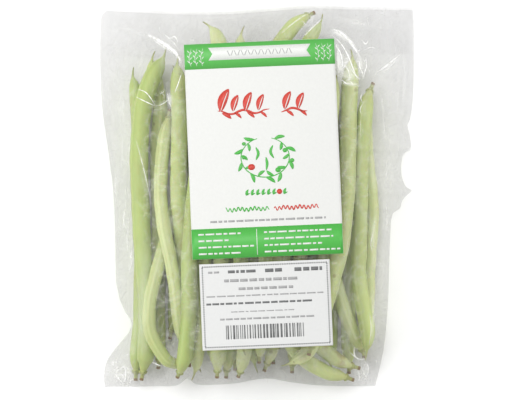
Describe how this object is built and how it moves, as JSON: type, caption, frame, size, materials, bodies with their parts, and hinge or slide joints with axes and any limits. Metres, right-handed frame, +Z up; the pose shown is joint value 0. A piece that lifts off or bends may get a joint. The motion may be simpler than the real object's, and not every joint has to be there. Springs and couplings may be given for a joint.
{
  "type": "green bean bundle",
  "caption": "Bundle of long green beans lying side by side in a flat clear film bag, with a rectangular front label and a smaller weight label stuck on it.",
  "frame": {"origin": "centre of the bag's underside, where it lies on a surface", "axes": "+Y along the bag towards its folded top, +X to its right seen from the front, +Z up out of the labelled front"},
  "size_m": [0.1484, 0.1804, 0.0393],
  "materials": {
    "bean_skin": "waxy green skin",
    "bag_film": "clear crinkled film",
    "label_paper": "smooth printed paper"
  },
  "bodies": {
    "root": {"bag": "bag_film", "bean_01": "bean_skin", "bean_02": "bean_skin", "bean_03": "bean_skin", "bean_04": "bean_skin", "bean_05": "bean_skin", "bean_06": "bean_skin", "bean_07": "bean_skin", "bean_08": "bean_skin", "bean_09": "bean_skin", "bean_10": "bean_skin", "bean_11": "bean_skin", "bean_12": "bean_skin", "bean_13": "bean_skin", "bean_14": "bean_skin", "bean_15": "bean_skin", "bean_16": "bean_skin", "bean_17": "bean_skin", "bean_18": "bean_skin", "bean_19": "bean_skin", "bean_20": "bean_skin", "bean_21": "bean_skin", "bean_22": "bean_skin", "bean_23": "bean_skin", "bean_24": "bean_skin", "bean_25": "bean_skin", "bean_26": "bean_skin", "bean_27": "bean_skin", "bean_28": "bean_skin", "bean_29": "bean_skin", "bean_30": "bean_skin", "bean_31": "bean_skin", "bean_32": "bean_skin", "bean_33": "bean_skin", "front_label": "label_paper", "weight_label": "label_paper"}
  },
  "joints": []
}
